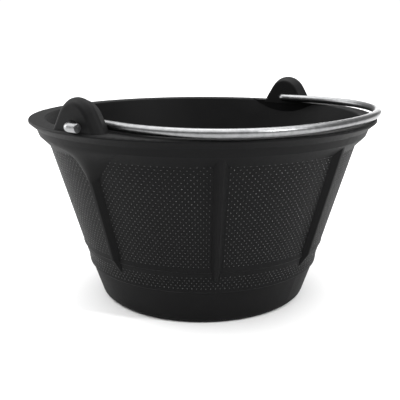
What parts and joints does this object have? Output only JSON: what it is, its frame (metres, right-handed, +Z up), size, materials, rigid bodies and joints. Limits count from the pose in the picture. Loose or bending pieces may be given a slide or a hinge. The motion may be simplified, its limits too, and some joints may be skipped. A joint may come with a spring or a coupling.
{
  "type": "feed bucket",
  "caption": "Round flared black rubber feed bucket with a flat rim flange, ribbed stepped wall and two rim lugs carrying a bent steel bail that swings over the mouth.",
  "frame": {"origin": "centre of the underside, where the bucket stands on the floor", "axes": "+Z up through the centre of the mouth; the two lugs are on +Y and -Y; the bail lies over +X at rest"},
  "size_m": [0.3619, 0.3766, 0.2216],
  "materials": {
    "black_rubber": "satin moulded black rubber, covered with rows of small raised dots on the outer wall",
    "bright_steel": "bright drawn and galvanised rod"
  },
  "bodies": {
    "bucket": {"bucket_body": "black_rubber"},
    "bail": {"bail_handle": "bright_steel"}
  },
  "joints": [
    {"name": "bail_swing", "type": "hinge", "parent": "bucket", "child": "bail", "pos_m": [0, 0, 0.1972], "axis": [0, -1, 0], "range_deg": [0, 180]}
  ]
}
